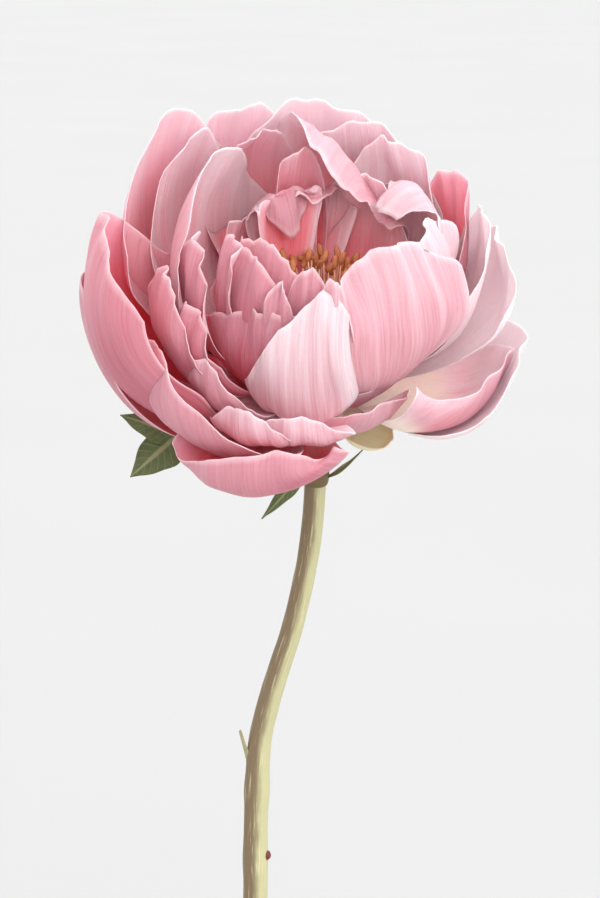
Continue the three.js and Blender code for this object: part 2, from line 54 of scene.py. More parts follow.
# The bloom, which leans towards the viewer, and the stem's centre line from the bloom down, from the hub
HUB = np.array([23.2, -14.0, 323.0])
TILT = math.radians(20)
STEM_RADIUS_TOP = 3.3
STEM_RADIUS_FOOT = 3.9
STEM_ROUTE = np.array([
    [0, 4.6, -12.6], [-0.3, 8.2, -22.6], [-1.2, 11.2, -32], [-2.1, 13.2, -45.8], [-3.6, 14, -58.2],
    [-6, 14, -70.5], [-9, 14, -82.7], [-12.9, 14, -95], [-16.2, 14, -106.5], [-18.8, 14, -119],
    [-19.8, 14, -138], [-20.2, 14, -155], [-20.4, 14, -173], [-22.6, 14, -212], [-26, 14, -265],
    [-29, 14, -316.1],
])
NODE_HEIGHT = -32  # where the bracts clasp the stem, over the hub
STUB_DROP = 133  # the cut leaf's stub and the bud scar, under the hub
SCAR_DROP = 156
KNOT_REACH = 5  # how far along the stem it swells at each of them

# The vase
VASE_HEIGHT = 148
VASE_WALL = 3.6
VASE_FLOOR = 6
VASE_OUTLINE = np.array([
    [0, 25], [3, 28], [14, 34], [34, 37.5], [56, 35], [76, 27.5],
    [94, 18.5], [110, 12.6], [126, 10.7], [138, 10.9], [148, 13],
])  # height and radius
VASE_FOOT = np.array([[0, 0.7], [19, 0.7], [20, 0.25], [21.5, 0], [24.4, 0]])  # radius and height
LIP_HALF = 1.55  # half the lip's width
LIP_ROUND = 1.2  # how high its rounding is

# Where each whorl's petals start: r0 from the bloom's axis and h0 over the hub
GUARD_ROOT = dict(r0=7, h0=-3)
MIDDLE_ROOT = dict(r0=8, h0=0)
INNER_ROOT = dict(r0=8, h0=3)

# A petal's values. az is the way it leans, in degrees from +X towards +Y; r and h are its tip's radius and
# height; out and curl are the angles at which its spine leaves the root and reaches the tip, 90 being
# upright; full is how far the spine bellies; w is its width and wrap how far it cups. drop and square shape
# its margin, which slant shortens to one side, and lobes and ragged make uneven. swing turns it aside
# towards the tip, twist rolls it over, widest and claw say where it is widest and how narrow its root is.
# ruffle, frill, fold, folds and crumple bend the sheet. deep, milk and cream are amounts of colour: crimson,
# pale and cream. The pale amount's high values on the right-hand petals also paint the glow of light through
# them.
PETAL_FORM = dict(drop=0.3, square=2.6, slant=0, lobes=0.006, ragged=0.0025, swing=0, twist=0, widest=0.62,
                  claw=0.08, ruffle=1.2, frill=0.25, fold=0.25, folds=9, crumple=0.55, deep=0.7, milk=0,
                  cream=0)
PETAL_TAPER = 0.15  # how much a petal narrows from its widest place to its margin
PETAL_THICKNESS = 0.42
PETAL_EDGE = 0.2
PETAL_BEND = math.pi / 2 * 0.86  # how closely a petal's columns crowd towards its sides

GUARD_PETALS = {
    "left": dict(az=187, r=63, h=60, out=-34, curl=120, full=1.6, w=80, wrap=80, drop=0.19, widest=0.45,
                 slant=-0.04, twist=-15),
    "left_low": dict(az=180, r=68.5, h=39, out=-48, curl=104, full=1.6, w=50, wrap=30, widest=0.5, milk=0.1,
                     deep=0.8),
    "front_left": dict(az=222, r=57, h=24, out=-30, curl=108, full=1.5, w=66, wrap=40, slant=0.22,
                       widest=0.45, milk=0.2),
    "front_low": dict(az=247, r=57, h=6, out=-42, curl=105, full=1.5, w=63, wrap=60, drop=0.16, slant=-0.1,
                      square=3, widest=0.5, twist=14, milk=0.2),
    # right_front, right_low and right_back: their high pale amounts paint light on their inner faces, the
    # glow of light through them
    "right_front": dict(az=345, r=55, h=9, out=-32, curl=80, full=1.45, w=68, wrap=75, swing=8, widest=0.5,
                        twist=-17, slant=-0.06, milk=1.1, deep=0.3, cream=1),
    "right_low": dict(az=8, r=61, h=12, out=-53, curl=80, full=1.45, w=80, wrap=45, widest=0.5, slant=0.05,
                      milk=1.6, deep=0.2, cream=0.5),
    "front_right": dict(az=302, r=33, h=8, out=-45, curl=80, full=1.4, w=38, wrap=45, milk=0.5, deep=0.3,
                        cream=0.5, ruffle=0.4),
    "right_back": dict(az=22, r=57, h=39, out=0, curl=105, full=1.4, w=54, wrap=40, milk=1.7, deep=0.2),
    "left_back": dict(az=148, r=53, h=74, out=4, curl=115, full=1.6, w=76, wrap=50, drop=0.26, square=2.4,
                      milk=0.5, deep=0.4, ruffle=0.5),
    "back_left": dict(az=117, r=54, h=68, out=-8, curl=112, full=1.6, w=50, wrap=42, drop=0.24, square=3,
                      milk=0.55, deep=0.4),
    "back": dict(az=92, r=47, h=70, out=2, curl=115, full=1.6, w=66, wrap=42, drop=0.24, square=3, milk=1,
                 deep=0.3),
    "back_right": dict(az=72, r=42, h=66, out=18, curl=115, full=1.6, w=58, wrap=42, drop=0.26, square=3,
                       milk=0.7, deep=0.3),
}
MIDDLE_PETALS = {
    "left_tall": dict(az=141, r=46, h=69, out=16, curl=118, full=1.6, w=54, wrap=40, widest=0.55, square=2,
                      drop=0.36, milk=0.7, deep=0.5, ruffle=0.5),
    "left_in": dict(az=155, r=31, h=70, out=12, curl=125, full=1.6, w=72, wrap=45, drop=0.32, widest=0.6,
                    square=2.2, milk=0.9, deep=0.5, fold=0.7, folds=7, crumple=0.9, frill=0.7),
    "back_curl": dict(az=119, r=36, h=67, out=32, curl=135, full=1.5, w=40, wrap=45, drop=0.28, square=3,
                      milk=0.3, deep=0.9, frill=0.8),
    "back_right": dict(az=54, r=38, h=65, out=24, curl=110, full=1.5, w=44, wrap=50, drop=0.26, square=3,
                       milk=0.7, deep=0.4),
    "hood": dict(az=74, r=12, h=62, out=30, curl=192, full=1.8, w=56, wrap=30, square=2.2, twist=-50,
                 milk=0.7, deep=0.6, crumple=0.8, frill=0.5),
    "right_channel": dict(az=33, r=48, h=57, out=5, curl=100, full=1.5, w=42, wrap=70, deep=2.8, fold=0.6,
                          folds=7),
    # right_strip: its high pale amount paints the glow of light through it
    "right_strip": dict(az=14, r=49, h=52, out=0, curl=100, full=1.5, w=30, wrap=55, milk=1.6, deep=0.2),
    "right_pale": dict(az=28, r=20, h=51, out=14, curl=228, full=2.1, w=34, wrap=40, milk=1.2, deep=0.5,
                       frill=0.5),
    "right_in": dict(az=348, r=31, h=56, out=25, curl=120, full=1.35, w=46, wrap=40, twist=-14, milk=1.3,
                     deep=0.5, fold=0.5, folds=11, frill=0.5),
    "front_right": dict(az=318, r=30, h=13, out=-20, curl=50, full=1.4, w=30, wrap=25, milk=0.8, deep=0.2,
                        cream=1, ruffle=0.3, frill=0.1, crumple=0.3),
    "front_ruffled": dict(az=312, r=26, h=55, out=14, curl=125, full=1.6, w=49, wrap=35, drop=0.15,
                          twist=-22, milk=1.12, deep=1.7, fold=0.6, folds=17, ruffle=2, frill=0.6,
                          ragged=0.005),
    "front": dict(az=257, r=35, h=41, out=-24, curl=118, full=1.5, w=40, wrap=55, slant=-0.28, widest=0.5,
                  drop=0.26, square=2.8, milk=1.4, deep=1.1, fold=0.35, folds=15, crumple=0.9, frill=0.6,
                  ragged=0.005),
    "front_scallop_1": dict(az=242, r=48.5, h=15.8, out=-14, curl=105, full=1.4, w=28, wrap=35, drop=0.2,
                            milk=1.2, deep=0.3, cream=0.5, ruffle=0.6),
    "front_scallop_2": dict(az=261, r=43.5, h=13, out=-5, curl=105, full=1.4, w=34, wrap=35, drop=0.2,
                            milk=1.2, deep=0.3, cream=0.5, ruffle=0.6),
    "front_small": dict(az=224, r=46, h=25, out=-4, curl=105, full=1.4, w=30, wrap=35, milk=0.8, deep=0.4,
                        ruffle=0.6),
    "left_tongue": dict(az=200, r=47, h=46, out=-2, curl=115, full=1.5, w=38, wrap=35, milk=0.4, deep=0.8,
                        frill=0.7),
    "left_fold": dict(az=212, r=44, h=39, out=6, curl=115, full=1.5, w=28, wrap=60, milk=0.1, deep=1.5,
                      frill=0.7),
    "wall": dict(az=224, r=32, h=36, out=10, curl=105, full=1.5, w=44, wrap=25, drop=0.06, slant=-0.12,
                 deep=1.9, frill=0.8, ragged=0.006),
}
INNER_PETALS = {
    "tongue_left": dict(az=199, r=37, h=56, out=10, curl=115, full=1.4, w=22, wrap=30, milk=0.25, frill=0.7,
                        ragged=0.006, deep=0.9),
    "sliver": dict(az=207, r=28, h=55, out=28, curl=115, full=1.4, w=14, wrap=30, milk=0.25, frill=0.7,
                   ragged=0.006, deep=0.9),
    "spade": dict(az=219, r=26, h=52, out=34, curl=115, full=1.5, w=32, wrap=35, drop=0.15, milk=0.15,
                  deep=1.5, frill=0.7, ragged=0.006),
    "spike": dict(az=232, r=21, h=55, out=44, curl=110, full=1.3, w=34, wrap=30, drop=0.12, square=1,
                  slant=0.08, milk=0.25, deep=0.9, frill=0.7, ragged=0.006),
    "low_spike": dict(az=262, r=25, h=51, out=33, curl=110, full=1.3, w=18, wrap=30, milk=0.25, frill=0.7,
                      deep=0.9),
    "tongue_front": dict(az=247, r=30, h=48, out=30, curl=110, full=1.4, w=13, wrap=30, milk=0.25, frill=0.7,
                         deep=0.9),
    "tongue_white": dict(az=276, r=29, h=50, out=30, curl=110, full=1.4, w=13, wrap=30, milk=0.9, deep=0.2,
                         frill=0.4),
    "back_wall": dict(az=62, r=27, h=56, out=40, curl=110, full=1.3, w=44, wrap=50, milk=0.4, deep=1.4,
                      crumple=0.9),
    "left_wall": dict(az=142, r=29, h=46, out=26, curl=110, full=1.3, w=34, wrap=50, milk=0.2),
    "petaloid_1": dict(az=125, r=14, h=43, out=60, curl=262, full=2.6, w=26, wrap=40, milk=0.4, deep=1,
                       crumple=1.3, frill=0.8, ragged=0.008),
    "pocket": dict(az=104, r=24, h=66, out=46, curl=118, full=1.4, w=24, wrap=85, drop=0.25, deep=1.5,
                   milk=0.1, fold=0.8, folds=6, frill=0.5),
    "petaloid_2": dict(az=105, r=16, h=53, out=46, curl=190, full=1.6, w=38, wrap=45, drop=0.22, crumple=1.5,
                       milk=0.5, deep=0.9, fold=0.8, folds=12, frill=0.9, ragged=0.006),
}

# The calyx
SEPAL_FORM = dict(r0=6.8, h0=-11, full=1.1, drop=0.4, claw=0.45, ruffle=0.15, lobes=0, ragged=0.004,
                  fold=0.12, crumple=0.15, frill=0.05)
SEPAL_THICKNESS = 1
SEPAL_EDGE = 0.3
SEPALS = [
    dict(az=325, r=25, h=-14, out=-35, curl=35, w=24, wrap=60),
    dict(az=35, r=24, h=-17, out=-40, curl=20, w=20, wrap=40),
    dict(az=108, r=27, h=-15, out=-35, curl=30, w=22, wrap=40),
    dict(az=178, r=24, h=-17, out=-40, curl=20, w=20, wrap=40),
    dict(az=250, r=19, h=-20, out=-50, curl=-10, w=16, wrap=35),
]

# The bracts: each one's root from the place where it clasps the stem, tip from the hub, and face
HANGING_BRACT = ([-3.6, -0.6, 1], [-17.7, 8, -44.7], (0.45, -0.8, 0.55))
UPRIGHT_BRACT = ([3.6, -0.6, -0.4], [13, 4.6, -22.4], (-0.5, -0.4, 0.75))
SLEEVE_HALF = 2.6  # half the length of the sheath that carries them

# The leaf, measured from the hub: its stalk's points, and each lobe's root, tip, width, columns and rows
LEAF_STALK = np.array([[-12, 19, -24], [-27, 20.5, -20], [-38, 18.5, -18.5], [-46, 16, -19.5]])
LEAF_LOBES = [
    ([-42, 17, -19], [-58, 12, -32.5], 13, 21, 61),
    ([-42, 17, -21], [-61, 14, -13.5], 9, 17, 51),
    ([-41, 17.6, -19], [-50, 30, -17], 10, 17, 51),
]
LEAF_FACE = (0.1, -0.9, 0.35)

STAMEN_COUNT = 130
STAMEN_TURN = 137.508  # degrees from one stamen to the next
STAMEN_LEANS = (82, 60)  # the middle ones' rise in degrees, and the outer ones'
STAMEN_LENGTHS = (30, 25)
CARPEL_COUNT = 3
CARPEL_FOOT = 6
CARPEL_LENGTH = 11.2

# Turned forms: their radius and height over the hub, along the bloom's axis
RECEPTACLE_OUTLINE = np.array([[0, -17.5], [3.1, -17], [3.6, -14], [5, -10.5],
                               [6.3, -7.5], [6.7, -5.9], [6, -5], [0, -4.9]])
COLLAR_OUTLINE = np.array([[4.6, -14], [6, -11], [6.9, -8.2], [7.8, -8.5],
                           [7.8, -11.2], [6.2, -14.2], [4.6, -14]])
STAMEN_DISC_OUTLINE = np.array([[4.7, 5.35], [7.4, 5.35], [7.4, 6.6], [6.6, 6.95],
                                [5.2, 6.95], [4.7, 6.6], [4.7, 5.35]])
CARPEL_DISC_OUTLINE = np.array([[0, 5.35], [3.8, 5.35], [4, 5.8], [3.6, 6.75], [0, 6.9]])

DOUBLE = 0.001  # points closer than this are joined


def smooth(x, low, high):
    """0 below low, 1 above high, and 3x^2 - 2x^3 between."""
    x = np.clip((x - low) / (high - low), 0, 1)
    return x * x * (3 - 2 * x)


def ripples(u, v, seed, waves=7, coarse=1.0, fine=3.0):
    """A smooth random field at (u, v): a sum of sine waves whose directions, phases and lengths are drawn
    from the seed, longer ones weighted more, scaled to about -1 to 1."""
    draw = np.random.default_rng(seed)
    field = np.zeros(np.broadcast(u, v).shape)
    total = 0.0
    for k in range(waves):
        frequency = coarse * (fine / coarse) ** (k / (waves - 1))
        angle = draw.uniform(0, 2 * math.pi)
        phase = draw.uniform(0, 2 * math.pi)
        weight = 1 / frequency ** 0.7
        field += weight * np.sin(
            2 * math.pi * frequency * (u * math.cos(angle) + v * math.sin(angle)) + phase)
        total += weight ** 2
    return field / math.sqrt(2 * total)


def cubic(start, start_slope, end, end_slope, u):
    """The Hermite cubic between two values with the slopes given, and its own slope, at u."""
    value = ((2 * u**3 - 3 * u**2 + 1) * start + (u**3 - 2 * u**2 + u) * start_slope
             + (3 * u**2 - 2 * u**3) * end + (u**3 - u**2) * end_slope)
    slope = ((6 * u**2 - 6 * u) * (start - end) + (3 * u**2 - 4 * u + 1) * start_slope
             + (3 * u**2 - 2 * u) * end_slope)
    return value, slope


def curve_through(points, count):
    """Points spread evenly by length along a Catmull-Rom curve through the given ones."""
    ends = np.vstack([2 * points[0] - points[1], points, 2 * points[-1] - points[-2]])
    u = np.linspace(0, len(points) - 1, 40 * len(points))
    k = np.minimum(u.astype(int), len(points) - 2)
    f = (u - k)[:, None]
    a, b, c, d = (ends[k + j] for j in range(4))
    dense = 0.5 * (2 * b + (c - a) * f + (2 * a - 5 * b + 4 * c - d) * f**2 + (3 * b - a - 3 * c + d) * f**3)
    run = np.concatenate([[0], np.cumsum(np.linalg.norm(np.diff(dense, axis=0), axis=1))])
    even = np.linspace(0, run[-1], count)
    return np.stack([np.interp(even, run, dense[:, axis]) for axis in range(dense.shape[1])], -1)


def petal_middle(p, s, t):
    """A petal's middle surface at s across it (-1 to 1) and t from root to margin (0 to 1).

    The spine is a cubic in the plane through the bloom's axis, leaving the root (r0, h0) at angle `out` and
    reaching the tip (r, h) at angle `curl`. Across it the petal is an arc of half-angle `wrap` that cups
    inwards; its half-width grows as sin^1.5 up to `widest` and narrows a little to the margin, which is
    rounded by `drop` and finely ragged. Folds, ruffles and crumples push the sheet in and out."""
    phase = p["phase"]
    seed = int(100 * phase) + 11
    reach = 1 - p["drop"] * np.abs(s) ** p["square"] - p["slant"] * s
    reach = reach + p["lobes"] * (np.sin(9 * s + phase) + 0.6 * np.sin(17 * s + 2.1 * phase))
    reach = reach + p["ragged"] * ripples(3.2 * s, 0 * s, seed, 6, 1.2, 4.5)
    tau = t * reach
    pull = p["full"] * math.hypot(p["r"] - p["r0"], p["h"] - p["h0"])
    out, curl = math.radians(p["out"]), math.radians(p["curl"])
    radius, d_radius = cubic(p["r0"], pull * math.cos(out), p["r"], pull * math.cos(curl), tau)
    height, d_height = cubic(p["h0"], pull * math.sin(out), p["h"], pull * math.sin(curl), tau)
    slope = np.hypot(d_radius, d_height)

    azimuth = np.radians(p["az"] + p["swing"] * tau**1.5)
    zero = np.zeros_like(tau)
    outward = np.stack([np.cos(azimuth) + zero, np.sin(azimuth) + zero, zero], -1)
    sideways = np.stack([-np.sin(azimuth) + zero, np.cos(azimuth) + zero, zero], -1)
    up = np.stack([zero, zero, zero + 1], -1)
    inward = outward * (-d_height / slope)[..., None] + up * (d_radius / slope)[..., None]

    widest, claw = p["widest"], p["claw"]
    swell = np.sin(math.pi / 2 * np.clip(tau / widest, 0, 1)) ** 1.5
    half = 0.5 * p["w"] * (claw + (1 - claw) * swell) * (1 - PETAL_TAPER * smooth(tau, widest, 1.05))
    cup = math.radians(p["wrap"]) * (0.55 + 0.45 * smooth(tau, 0, 0.5))
    across = half / cup * np.sin(cup * s)
    rise = half / cup * (1 - np.cos(cup * s))
    twist = math.radians(p["twist"]) * smooth(tau, 0.1, 1.0)
    across, rise = (across * np.cos(twist) - rise * np.sin(twist),
                    across * np.sin(twist) + rise * np.cos(twist))

    margin = np.maximum(np.abs(s) ** 5 * smooth(tau, 0.3, 0.7), smooth(t, 0.72, 1))
    wave = np.sin(6.5 * s + 1.7 * phase) + 0.5 * np.sin(14.95 * s + phase)
    rise = rise + p["ruffle"] * margin * wave
    body = smooth(t, 0.05, 0.5) * smooth(1.02 - np.abs(s), 0, 0.5)
    fold = np.cos(p["folds"] * s * (1 - 0.25 * t) + 2.3 * phase)
    rise = rise + p["fold"] * fold * smooth(t, 0.1, 0.7)
    crumple = ripples(1.1 * s, 1.3 * t, seed + 1, 7, 0.9, 3.2)
    rise = rise + p["crumple"] * crumple * (0.4 + 0.6 * body)
    fine = p["frill"] * margin * ripples(2.2 * s, 0.7 * t, seed + 2, 6, 1.5, 5.0)
    return (outward * radius[..., None] + up * height[..., None] + sideways * across[..., None]
            + inward * (rise + fine)[..., None])


def leaning(points):
    """Points of the bloom's own frame, in the object's."""
    a, b, c = points[..., 0], points[..., 1], points[..., 2]
    cos, sin = math.cos(TILT), math.sin(TILT)
    return np.stack([a, b * cos - c * sin, b * sin + c * cos], -1) + HUB


def shell(middle, thickness, **values):
    """A thin closed sheet round a middle surface given as a grid: both faces and the rim between them.

    Returns its points, its four-sided faces, and every point's (s, t) and values. `inside` is 1 on the face
    that looks towards the bloom's axis."""
    rows, columns = middle.shape[:2]
    normal = np.cross(np.gradient(middle, axis=1), np.gradient(middle, axis=0))
    normal /= np.maximum(np.linalg.norm(normal, axis=-1, keepdims=True), 1e-9)
    offset = 0.5 * np.broadcast_to(thickness, (rows, columns))[..., None] * normal
    points = np.concatenate([middle + offset, middle - offset]).reshape(-1, 3)
    index = np.arange(rows * columns).reshape(rows, columns)
    cells = np.stack([index[:-1, :-1], index[:-1, 1:], index[1:, 1:], index[1:, :-1]], -1).reshape(-1, 4)
    layer = rows * columns
    rim = np.concatenate([index[0, :-1], index[:-1, -1], index[-1, :0:-1], index[:0:-1, 0]])
    after = np.roll(rim, -1)
    sides = np.stack([after, rim, rim + layer, after + layer], -1)
    faces = np.concatenate([cells, cells[:, ::-1] + layer, sides])
    t, s = np.meshgrid(np.linspace(0, 1, rows), np.linspace(0, 1, columns), indexing="ij")
    place = np.tile(np.stack([s, t], -1).reshape(-1, 2), (2, 1))
    data = {"inside": np.repeat([0.0, 1.0], layer)}
    for name, value in values.items():
        data[name] = np.tile(np.broadcast_to(value, (rows, columns)).reshape(-1), 2)
    return points, faces, place, data


def pipe(route, radius, sides, groove=0.0, grooves=5, rounded=0.0):
    """A closed rod: a ring of `sides` points round each point of the route, its radius multiplied by
    1 + groove * cos(grooves * angle), and a point that closes each end and stands out by `rounded`."""
    along = np.gradient(route, axis=0)
    along /= np.linalg.norm(along, axis=1, keepdims=True)
    right = np.array([1.0, 0, 0]) - along * along[:, :1]
    right /= np.linalg.norm(right, axis=1, keepdims=True)
    back = np.cross(along, right)
    angle = np.linspace(0, 2 * math.pi, sides, endpoint=False)
    spread = np.broadcast_to(np.asarray(radius, float).reshape(-1, 1), (len(route), sides))
    spread = spread * (1 + groove * np.cos(grooves * angle))
    rings = (route[:, None] + spread[..., None] * (
        right[:, None] * np.cos(angle)[:, None] + back[:, None] * np.sin(angle)[:, None]))
    count = len(route)
    ends = np.stack([route[0] - rounded * along[0], route[-1] + rounded * along[-1]])
    points = np.concatenate([rings.reshape(-1, 3), ends])
    index = np.arange(count * sides).reshape(count, sides)
    nxt = np.roll(index, -1, axis=1)
    walls = np.stack([index[:-1], nxt[:-1], nxt[1:], index[1:]], -1).reshape(-1, 4)
    first, last = count * sides, count * sides + 1
    caps = np.concatenate([
        np.stack([np.full(sides, first), nxt[0], index[0], index[0]], -1),
        np.stack([np.full(sides, last), index[-1], nxt[-1], nxt[-1]], -1)])
    u = np.broadcast_to(angle / (2 * math.pi), (count, sides)).reshape(-1)
    v = np.repeat(np.linspace(0, 1, count), sides)
    place = np.concatenate([np.stack([u, v], -1), [[0.5, 0], [0.5, 1]]])
    return points, np.concatenate([walls, caps]), place, {}


def turned_form(profile, sides):
    """A closed form of revolution about Z: the profile's (radius, height) points swept round. Points with no
    radius close the ends."""
    angle = np.linspace(0, 2 * math.pi, sides, endpoint=False)
    radius, height = profile[:, 0], profile[:, 1]
    grid = np.stack([
        radius[:, None] * np.cos(angle), radius[:, None] * np.sin(angle),
        np.broadcast_to(height[:, None], (len(profile), sides))], -1)
    index = np.arange(len(profile) * sides).reshape(len(profile), sides)
    nxt = np.roll(index, -1, axis=1)
    faces = np.stack([index[:-1], nxt[:-1], nxt[1:], index[1:]], -1).reshape(-1, 4)
    u = np.broadcast_to(angle / (2 * math.pi), (len(profile), sides)).reshape(-1)
    v = np.repeat(np.linspace(0, 1, len(profile)), sides)
    return grid.reshape(-1, 3), faces, np.stack([u, v], -1), {}


def gathered(parts):
    """Several (points, faces, place, values) parts as one."""
    offset = 0
    points, faces, places = [], [], []
    names = sorted({name for part in parts for name in part[3]})
    values = {name: [] for name in names}
    for part_points, part_faces, place, data in parts:
        points.append(part_points)
        faces.append(part_faces + offset)
        places.append(place)
        for name in names:
            values[name].append(np.broadcast_to(data.get(name, 0.0), len(part_points)))
        offset += len(part_points)
    return (np.concatenate(points), np.concatenate(faces), np.concatenate(places),
            {name: np.concatenate(values[name]) for name in names})


def piece_from(name, parts, material, slot, *nodes):
    """A smooth-shaded mesh piece in metres from millimetre parts, with its (s, t) as the UV map "sheet" and
    its values as attributes. Doubled points at poles and seams are merged."""
    points, faces, place, values = gathered(parts)
    mesh = bpy.data.meshes.new(name)
    triangle = faces[:, 2] == faces[:, 3]
    polygons = [*map(list, faces[~triangle].tolist()), *map(list, faces[triangle][:, :3].tolist())]
    mesh.from_pydata((points * MM).tolist(), [], polygons)
    corner = np.zeros(len(mesh.loops), np.int32)
    mesh.loops.foreach_get("vertex_index", corner)
    sheet = mesh.uv_layers.new(name="sheet")
    sheet.data.foreach_set("uv", place[corner].astype(np.float32).ravel())
    for key, value in values.items():
        mesh.attributes.new(key, "FLOAT", "POINT").data.foreach_set("value", value.astype(np.float32))
    mesh.polygons.foreach_set("use_smooth", np.ones(len(mesh.polygons), bool))
    joined = bmesh.new()
    joined.from_mesh(mesh)
    bmesh.ops.remove_doubles(joined, verts=joined.verts, dist=DOUBLE * MM)
    joined.to_mesh(mesh)
    joined.free()
    piece = bpy.data.objects.new(name, mesh)
    bpy.context.scene.collection.objects.link(piece)
    mesh.materials.append(material)
    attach(piece, "root")
    if nodes:
        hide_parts(*nodes)
    return piece


class Finish:
    """A material under construction: its node tree, its main shader, and short ways to add nodes."""

    def __init__(self, name, **sockets):
        self.material = bpy.data.materials.new(name)
        self.material.use_nodes = True
        self.tree = self.material.node_tree
        self.shader = self.tree.nodes["Principled BSDF"]
        for key, value in sockets.items():
            self.shader.inputs[key.replace("_", " ")].default_value = value

    def add(self, kind, **settings):
        node = self.tree.nodes.new("ShaderNode" + kind)
        for key, value in settings.items():
            setattr(node, key, value)
        return node

    def join(self, source, node, socket):
        """Links a socket, or sets a plain number or colour."""
        target = node.inputs[socket]
        if isinstance(source, bpy.types.NodeSocket):
            self.tree.links.new(source, target)
        else:
            target.default_value = source

    def value(self, name):
        """One of the values stored at the piece's points."""
        return self.add("Attribute", attribute_name=name).outputs["Fac"]

    def sheet(self):
        """The u and v of the piece's own map."""
        split = self.add("SeparateXYZ")
        self.join(self.add("UVMap", uv_map="sheet").outputs["UV"], split, 0)
        return split.outputs["X"], split.outputs["Y"]

    def here(self):
        """The place on the object, in metres."""
        return self.add("TexCoord").outputs["Object"]

    def math(self, operation, *inputs, clamp=False):
        node = self.add("Math", operation=operation, use_clamp=clamp)
        for k, source in enumerate(inputs):
            self.join(source, node, k)
        return node.outputs[0]

    def times(self, a, b):
        return self.math("MULTIPLY", a, b)

    def plus(self, a, b, clamp=False):
        return self.math("ADD", a, b, clamp=clamp)

    def minus(self, a, b):
        return self.math("SUBTRACT", a, b)

    def sway(self, noise, amount):
        """A noise round 0.5 as one round 0, times amount."""
        return self.times(self.minus(noise, 0.5), amount)

    def from_middle(self, u):
        """How far u is from the middle of the map, 0 to 1."""
        return self.math("ABSOLUTE", self.math("MULTIPLY_ADD", u, 2.0, -1.0))

    def span(self, source, low, high, to_low=0.0, to_high=1.0):
        """Maps low..high smoothly to to_low..to_high, clamped."""
        node = self.add("MapRange", interpolation_type="SMOOTHSTEP")
        for socket, item in zip(("Value", "From Min", "From Max", "To Min", "To Max"),
                                (source, low, high, to_low, to_high)):
            self.join(item, node, socket)
        return node.outputs[0]

    def vector(self, x, y, z=0.0):
        node = self.add("CombineXYZ")
        for k, source in enumerate((x, y, z)):
            self.join(source, node, k)
        return node.outputs[0]

    def noise(self, where, scale, detail=3.0, roughness=0.5, distortion=0.0):
        node = self.add("TexNoise")
        self.join(where, node, "Vector")
        for socket, item in (("Scale", scale), ("Detail", detail), ("Roughness", roughness),
                             ("Distortion", distortion)):
            node.inputs[socket].default_value = item
        return node.outputs["Fac"]

    def fibres(self, u, v, across, along, detail, roughness, distortion=0.0, seed=0.0):
        """A noise stretched over the map, with about across and along cells each way."""
        where = self.vector(self.times(u, across), self.times(v, along), seed)
        return self.noise(where, 1.0, detail, roughness, distortion)

    def mix(self, share, low, high):
        """Colour low where share is 0 and high where it is 1."""
        node = self.add("Mix", data_type="RGBA")
        self.join(share, node, 0)
        self.join(low, node, 6)
        self.join(high, node, 7)
        return node.outputs[2]

    def bump(self, height, strength, distance):
        node = self.add("Bump")
        node.inputs["Strength"].default_value = strength
        node.inputs["Distance"].default_value = distance
        self.join(height, node, "Height")
        self.join(node.outputs[0], self.shader, "Normal")

    def colour(self, source):
        self.join(source, self.shader, "Base Color")


def tint(red, green, blue):
    """A screen colour, 0 to 255, as the linear colour that a shader takes."""
    levels = np.array([red, green, blue]) / 255
    linear = np.where(levels <= 0.04045, levels / 12.92, ((levels + 0.055) / 1.055) ** 2.4)
    return (*linear.tolist(), 1.0)


BLUSH = tint(242, 74, 96)
PINK = tint(250, 152, 167)
# painted shade: the next two colours, and the one after PALE, are darker copies of blush, pink and pale that
# every petal's outer face takes
SHADED_BLUSH = tint(188, 64, 84)
SHADED_PINK = tint(194, 116, 132)
PALE = tint(255, 219, 225)
SHADED_PALE = tint(230, 193, 201)
WHITE = tint(248, 230, 233)
# WHITE is also the painted glow of light through the right-hand petals
CREAM = tint(252, 234, 220)
# the rim colour: partly the petal edge's own paler tone and partly a painted highlight along the margin
RIM_TINT_AND_HIGHLIGHT = tint(254, 240, 240)


